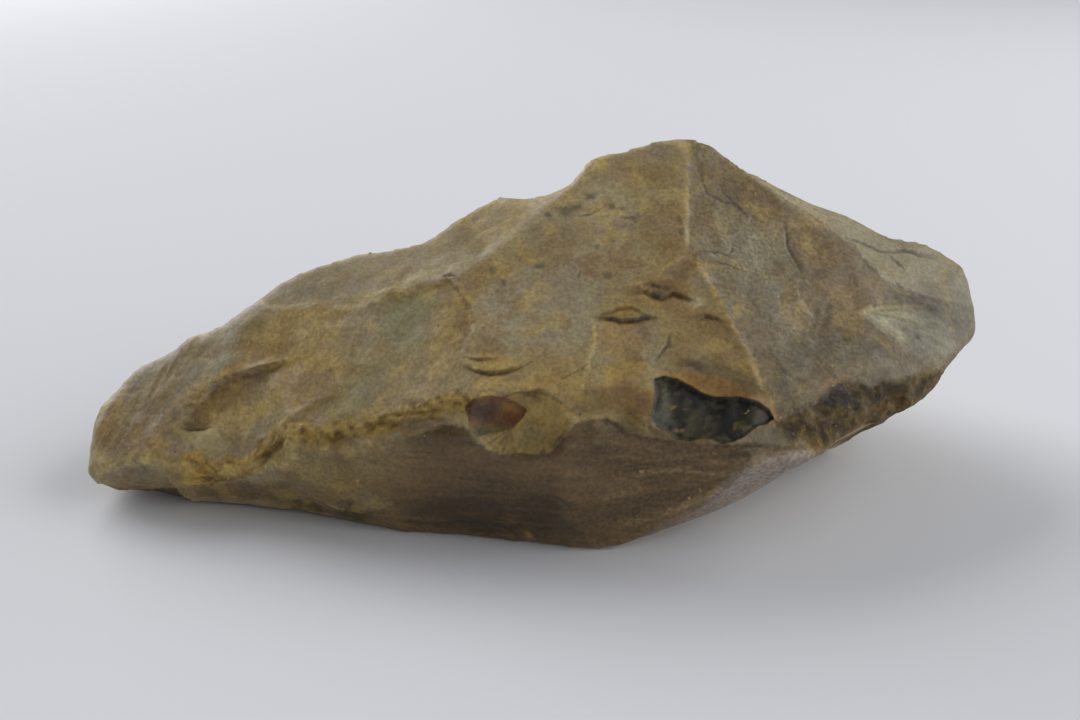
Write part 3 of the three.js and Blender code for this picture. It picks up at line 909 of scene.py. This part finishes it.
colours = np.tile(linear(OLIVE), (len(points), 1))
lay(UMBER, 0.6 * eased(broad, -0.05, 0.5))
lay(GREY, 0.5 * eased(-broad, 0.05, 0.5))
for name, across, down, wide, high, tilt, colour, amount in SPOTS + RIND_SPOTS:
    lay(colour, amount * oval(loose, across, down, wide, high, tilt, 0.5, 1.35))
lay(GREY, 0.6 * top_facet)
lay(OLIVE, 0.7 * top_facet)
lay(YELLOW, 0.8 * oval(loose, *HUMP, 0.5, 1.3))
brown_back = inside(BUTT_BROWN, loose, -4, 6)
lay(UMBER, 0.7 * brown_back)
lay(OCHRE, 0.35 * brown_back * eased(blush, -0.1, 0.3))
fan_cap = inside(WHITE_FAN, loose * 0.4 + crisp * 0.6, -3, 5)
lay(PALE, 0.85 * fan_cap)
lay(CHALK, fan_cap * 0.6 * eased(-cap_streaks, 0.0, 0.4))
lay(GREY, fan_cap * 0.55 * eased(cap_streaks, 0.0, 0.4))
lay(SLATE, fan_cap * 0.3 * eased(cap_streaks, 0.3, 0.6))
aged = (1 - front) * (1 - fan_cap)
lay(UMBER, 0.5 * aged * eased(blush, 0.12, 0.5))
lay(YELLOW, 0.35 * aged * eased(clouded, 0.12, 0.5))
lay(MAUVE, 0.35 * aged * eased(-blush, 0.15, 0.5))
far_facet = inside(FAR_FACET, crisp, -1, 2)
lay(PALE, 0.75 * far_facet)
lay(UMBER, 0.65 * tip_face * eased(tip_flow, 0.05, 0.45))
lay(GREY, 0.5 * tip_face * eased(-tip_flow, 0.1, 0.5))
# Painted shade under the tip.
lay(PEAT, 0.9 * inside(TIP_UNDERSIDE_SHADE, crisp, -1, 2))

wedge = inside(WEDGE, crisp, -1.5, 2)
lay(OLIVE, 0.6 * wedge)
# Painted light: the ledge is painted paler, as a face turned up to the light.
colours *= (1 + WEDGE_PAINTED_LIGHT * wedge)[:, None]
lay(GREY, 0.25 * wedge)

# The face turned down to the floor is painted dark brown, darkest at the keel: partly its own dark
# patina, partly painted shade.
lay(EARTH, front * (0.45 + 0.55 * eased(places[:, 0], *FRONT_BROWNS)))
lay(PEAT, front * 0.8 * oval(loose, *FRONT_DARK, 0.4, 1.3))
lay(PEAT, front * 0.35 * eased(flow, 0.1, 0.5))
lay(UMBER, front * 0.4 * eased(-flow, 0.1, 0.5))
lay(TAN, front_right * 0.4 * eased(fanned, 0.15, 0.5))
lay(PEAT, front_right * 0.5 * eased(-fanned, 0.1, 0.5))
pale_foot = inside(FRONT_PALE, crisp, -3, 4)
lay(ASH, 0.8 * pale_foot * eased(places[:, 0], *FOOT_PALES))
lay(MAUVE, 0.3 * pale_foot * eased(fanned, -0.2, 0.3))

rust = eased(pits, -0.15, 0.35)
lay(OCHRE, crushed * 0.6)
colours *= (1 - CRUSHED_DARKER * crushed)[:, None]
lay(YELLOW, crushed * 0.45 * eased(flecked, 0.0, 0.4))
lay(BARK, crushed * 0.7 * eased(-flecked, 0.05, 0.4))
lay(OCHRE, 0.85 * in_rubble)
lay(RUST, 0.3 * in_rubble * rust)
lay(YELLOW, 0.5 * in_rubble * eased(dimple, 0.05, 0.4))
lay(BARK, 0.6 * in_rubble * eased(-flecked, 0.1, 0.4))
lay(UMBER, rind * 0.55)
for name, across, down, wide, high, tilt, colour, amount in RIND_SPOTS:
    lay(colour, amount * oval(loose, across, down, wide, high, tilt, 0.5, 1.3) * (0.6 + 0.4 * rust))
lay(SOOT, rind * 0.5 * eased(flecked, 0.2, 0.5))
lay(OCHRE, rind * 0.5 * eased(-flecked, 0.2, 0.5))
lay(SOOT, hidden_rind * 0.5 * eased(dimple, 0.0, 0.4))

lay(OCHRE, fan * 0.5)
lay(YELLOW, fan * 0.6 * oval(loose, *FAN_YELLOW, 0.4, 1.3))
lay(GREEN, fan * 0.5 * oval(loose, *FAN_GREEN, 0.4, 1.3))
lay(CREAM, fan * 0.25 * oval(crisp, *FAN_PALE, 0.4, 1.3))
# Painted shade under the fan chip's rim.
lay(UMBER, fan * 0.8 * oval(crisp, *FAN_RIM_SHADE, 0.5, 1.2))
for name, (line, colour, reach, amount) in LINES.items():
    far, side, way = from_line(line, crisp)
    taper = np.sin(math.pi * np.clip(way, 0.04, 0.96)) ** 0.5
    broken = LINE_GAIN * np.clip(0.75 + 0.9 * flecked, 0.25, 1)
    lay(colour, seen * amount * taper * broken * np.exp(-2 * (far / reach) ** 2))
# Painted shade: dark brown along the cut under each open crack's lip.
lay(LIP_SHADE_BROWN, lip_shade * 0.95)

amber = seen * eased(brown_depth, -2.0, -0.6)
black = seen * eased(black_depth, -2.4, -0.8)
lay(AMBER, amber)
lay(MOSS, amber * 0.85 * oval(crisp, *BROWN_CHIP_FOOT, 0.4, 1.2))
lay(GARNET, amber * 0.95 * oval(crisp, *BROWN_CHIP_CORE, 0.5, 1.4))
lay(RUST, amber * 0.35 * oval(crisp, *BROWN_CHIP_GLINT, 0.4, 1.3))
lay(JET, black)
lay(GREEN, black * 0.22 * eased(flecked, 0.0, 0.5))
lay(GREEN, black * 0.12 * eased(blush, 0.0, 0.4))
lay(PEAT, black * 0.5 * oval(loose, *BLACK_CHIP_END, 0.4, 1.3))
for across, down, wide, high in BLACK_CHIP_FLECKS:
    lay(OCHRE, black * 0.55 * rust * oval(crisp, across, down, wide, high, 0, 0.3, 1.2))

for name, across, down, wide, high, tilt, gain in TONES:
    colours *= 1 + (gain - 1) * oval(loose, across, down, wide, high, tilt, 0.5, 1.4)[:, None]
butt = inside(BUTT, crisp, -2, 3)
rest = 1 - np.maximum.reduce([butt, top_facet, front])
toned = [
    (BUTT_TONE_AND_SHADE, butt * (1 - 0.3 * far_facet)), (TOP_FACET_TONE_AND_SHADE, top_facet),
    (FRONT_TONE, front * (1 - pale_foot)), (REST_TONE, rest),
]
for tone, amount in toned:
    colours *= 1 + (np.array(tone) - 1) * amount[:, None]
hidden = 1 - seen
for again in range(HIDDEN_EDGE_PASSES):
    hidden = neighbour_mean(skin, hidden)
hidden = np.minimum(hidden * 2, 1) * (1 - seen)
colours *= (1 + (HIDDEN_TONE - 1) * hidden)[:, None]

rays = np.zeros(len(points))
for line in FAN_RAYS:
    far = from_line([RAYS_START] + line, crisp)[0]
    rays = np.maximum(rays, seen * (1 - eased(far, 0.5, 1.8)))
flecks = np.zeros(len(points))
for across, down, wide, high in DARK_FLECKS:
    flecks = np.maximum(flecks, oval(crisp, across, down, wide, high, 0, 0.4, 1.3))
dark = np.maximum.reduce([hair * 0.9, lip_shade * 0.05, flecks * 0.55, rays * 0.4])

# Places where the ridges keep the stone's own colour: a place, two reaches and a tilt.
UNWORN = [
    ("peak ridge", 688, 195, 9, 62, 0),
    ("left line", 591, 350, 8, 40, 8),
    ("diagonal", 300, 407, 26, 10, -35),
    ("worn edge", 400, 415, 90, 22, -8),
    ("tip's back", 190, 345, 70, 14, -38),
    ("tip's foot", 130, 486, 50, 12, 0),
    ("brown chip's left", 468, 425, 10, 28, 0),
    ("black chip's foot", 715, 440, 90, 16, 2),
    ("black chip's rim", 715, 392, 80, 16, 12),
    ("black chip's left", 655, 405, 9, 34, 0),
    ("shoulder step", 466, 312, 14, 44, -20),
    ("rind", 868, 408, 110, 34, -17),
    ("right end", 965, 310, 44, 76, 0),
    ("far facet", 830, 205, 170, 22, 27),
]

# How far the skin stands out from the points around it where it starts to look worn and where it is
# fully worn, in millimetres. Hollows are sunk as far.
WORN_FROM = 0.018
WORN_FULLY = 0.066

worn = eased(bulge, WORN_FROM, WORN_FULLY) * (1 - 0.8 * front)
for name, across, down, wide, high, tilt in UNWORN:
    worn *= 1 - 0.8 * oval(places, across, down, wide, high, tilt, 0.7, 1.3)
worn *= 1 - 0.8 * rind
hollow = eased(-bulge, WORN_FROM, WORN_FULLY)
hump = oval(loose, *HUMP, 0.6, 1.3)
gloss = 0.42 - 0.1 * black - 0.24 * np.maximum.reduce([top_facet, hump, crushed])
grit = 0.55 + 0.35 * butt + 0.3 * front_right - 0.2 * black
grit -= 0.3 * np.maximum.reduce([far_facet, fan_cap, wedge])

mesh = bpy.data.meshes.new("hand_axe_skin")
skin.to_mesh(mesh)
skin.free()
mesh.attributes.remove(mesh.attributes["bulge"])
for polygon in mesh.polygons:
    polygon.use_smooth = True
stain = mesh.attributes.new("stain", "FLOAT_COLOR", "POINT")
stain.data.foreach_set("color", np.hstack([colours, np.ones((len(points), 1))]).ravel())
for name, values in {
    "dark": dark, "worn": worn, "hollow": hollow, "rind": rind, "front": front, "grit": grit,
    "gloss": gloss, "fresh": np.maximum(black, 0.5 * amber),
}.items():
    mesh.attributes.new(name, "FLOAT", "POINT").data.foreach_set("value", values.astype(np.float32))
hand_axe = link(bpy.data.objects.new("hand_axe_skin", mesh))

# Hand axe, the finish: mottled patina with a soft sheen, paler on worn ridges, browner in hollows,
# matt on the rind, and even in colour where the flint is freshly broken.
finish = bpy.data.materials.new("patinated_flint")
finish.use_nodes = True
tree = finish.node_tree
surface = tree.nodes["Principled BSDF"]
object_place = tree.nodes.new("ShaderNodeTexCoord").outputs["Object"]


def joined(node, socket, value):
    """Sets a socket to a number or a colour, or links it to another node's output."""
    if isinstance(value, bpy.types.NodeSocket):
        tree.links.new(value, node.inputs[socket])
    else:
        node.inputs[socket].default_value = value


def from_skin(name, output="Fac"):
    node = tree.nodes.new("ShaderNodeAttribute")
    node.attribute_name = name
    return node.outputs[output]


def cloudy(scale, detail=4, rough=0.55, twist=0.0):
    node = tree.nodes.new("ShaderNodeTexNoise")
    joined(node, "Vector", object_place)
    joined(node, "Scale", scale)
    joined(node, "Detail", detail)
    joined(node, "Roughness", rough)
    joined(node, "Distortion", twist)
    return node.outputs["Fac"]


def ranged(value, low, high, bottom=0.0, top=1.0):
    node = tree.nodes.new("ShaderNodeMapRange")
    node.interpolation_type = "SMOOTHSTEP"
    joined(node, "Value", value)
    joined(node, "From Min", low)
    joined(node, "From Max", high)
    joined(node, "To Min", bottom)
    joined(node, "To Max", top)
    return node.outputs["Result"]


def sum_of(kind, first, second):
    node = tree.nodes.new("ShaderNodeMath")
    node.operation = kind
    joined(node, 0, first)
    joined(node, 1, second)
    return node.outputs[0]


def mixed(kind, share, under, over):
    node = tree.nodes.new("ShaderNodeMix")
    node.data_type = "RGBA"
    node.blend_type = kind
    joined(node, 0, share)
    joined(node, 6, under)
    joined(node, 7, over)
    return node.outputs[2]


def shade(colour):
    return (*[float(x) for x in linear(colour)], 1.0)


DARK_GRAIN = (0.62, 0.62, 0.62, 1)
PALE_GRAIN = (1.34, 1.34, 1.34, 1)
BUMP_HEIGHT = 0.00012

grain = cloudy(1500, 3, 0.6)
mottle = cloudy(420, 5, 0.62, 0.4)
cloud = cloudy(120, 4, 0.6, 0.4)
blotch = cloudy(230, 6, 0.68, 1.2)
speck = cloudy(800, 3, 0.5)

colour = from_skin("stain", "Color")
colour = mixed("MIX", ranged(blotch, 0.52, 0.70, 0.0, 0.4), colour, shade(UMBER))
colour = mixed("MIX", ranged(cloud, 0.55, 0.72, 0.0, 0.35), colour, shade(OCHRE))
colour = mixed("MIX", ranged(mottle, 0.40, 0.28, 0.0, 0.3), colour, shade(GREY))
plain = sum_of("MAXIMUM", from_skin("fresh"), from_skin("front"))
colour = mixed("MIX", sum_of("MULTIPLY", plain, 0.8), colour, from_skin("stain", "Color"))
colour = mixed("MIX", sum_of("MULTIPLY", from_skin("worn"), ranged(mottle, 0.35, 0.65, 0.1, 0.55)),
               colour, shade(CREAM))
colour = mixed("MIX", sum_of("MULTIPLY", from_skin("hollow"), 0.4), colour, shade(UMBER))
grains = mixed("MIX", ranged(grain, 0.3, 0.7), DARK_GRAIN, PALE_GRAIN)
colour = mixed("MULTIPLY", from_skin("grit"), colour, grains)
colour = mixed("MIX", ranged(speck, 0.70, 0.78, 0.0, 0.55), colour, shade(SOOT))
colour = mixed("MIX", ranged(speck, 0.30, 0.22, 0.0, 0.4), colour, shade(CREAM))
colour = mixed("MIX", from_skin("dark"), colour, shade(SOOT))
joined(surface, "Base Color", colour)

sheen = ranged(mottle, 0.3, 0.7, 0.40, 0.56)
sheen = sum_of("ADD", sheen, sum_of("MULTIPLY", from_skin("rind"), 0.35))
joined(surface, "Roughness", sheen)
joined(surface, "Specular IOR Level", from_skin("gloss"))

height = sum_of("ADD", sum_of("MULTIPLY", grain, 0.5), sum_of("MULTIPLY", mottle, 0.8))
bump = tree.nodes.new("ShaderNodeBump")
joined(bump, "Strength", 0.55)
joined(bump, "Distance", BUMP_HEIGHT)
joined(bump, "Height", height)
joined(surface, "Normal", bump.outputs["Normal"])
mesh.materials.append(finish)

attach(hand_axe, "root")
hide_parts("hand_axe")

# Floor: plain, pale and matt, far wider than the stone, at the height that the stone rests on.
FLOOR_SIZE = 6.0
FLOOR_COLOUR = (0.72, 0.733, 0.775, 1)

floor_sheet = bmesh.new()
bmesh.ops.create_grid(floor_sheet, x_segments=1, y_segments=1, size=FLOOR_SIZE / 2)
floor_mesh = bpy.data.meshes.new("floor")
floor_sheet.to_mesh(floor_mesh)
floor_sheet.free()
floor = link(bpy.data.objects.new("floor", floor_mesh))
paint = bpy.data.materials.new("pale_floor")
paint.use_nodes = True
floor_finish = paint.node_tree.nodes["Principled BSDF"]
floor_finish.inputs["Base Color"].default_value = FLOOR_COLOUR
floor_finish.inputs["Roughness"].default_value = 0.9
floor_mesh.materials.append(paint)
floor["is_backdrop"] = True

# Light: three wide soft lamps, as windows would be, behind the stone on the left, on the right and,
# weaker, in front on the right, in a dim room. Each has its place, its watts and its width.
LAMPS = {
    "left_lamp": ((-1.28, 1.28, 1.12), 40.0, 1.9),
    "right_lamp": ((1.1, 0.0, 0.6), 12.0, 1.2),
    "front_lamp": ((0.8, -0.8, 0.6), 3.0, 1.2),
}
LAMP_AIM = (0.0, 0.0, 0.02)
ROOM_COLOUR = (0.97, 0.98, 1.0, 1)
ROOM_LIGHT = 0.15

for name, (place, watts, width) in LAMPS.items():
    lamp_data = bpy.data.lights.new(name, "AREA")
    lamp_data.size = width
    lamp_data.energy = watts
    lamp = link(bpy.data.objects.new(name, lamp_data))
    lamp.location = place
    lamp.rotation_euler = (Vector(LAMP_AIM) - Vector(place)).to_track_quat("-Z", "Y").to_euler()

room = bpy.data.worlds.new("room")
room.use_nodes = True
glow = room.node_tree.nodes["Background"]
glow.inputs["Color"].default_value = ROOM_COLOUR
glow.inputs["Strength"].default_value = ROOM_LIGHT
bpy.context.scene.world = room
bpy.context.scene.view_settings.view_transform = "Standard"

low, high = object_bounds()
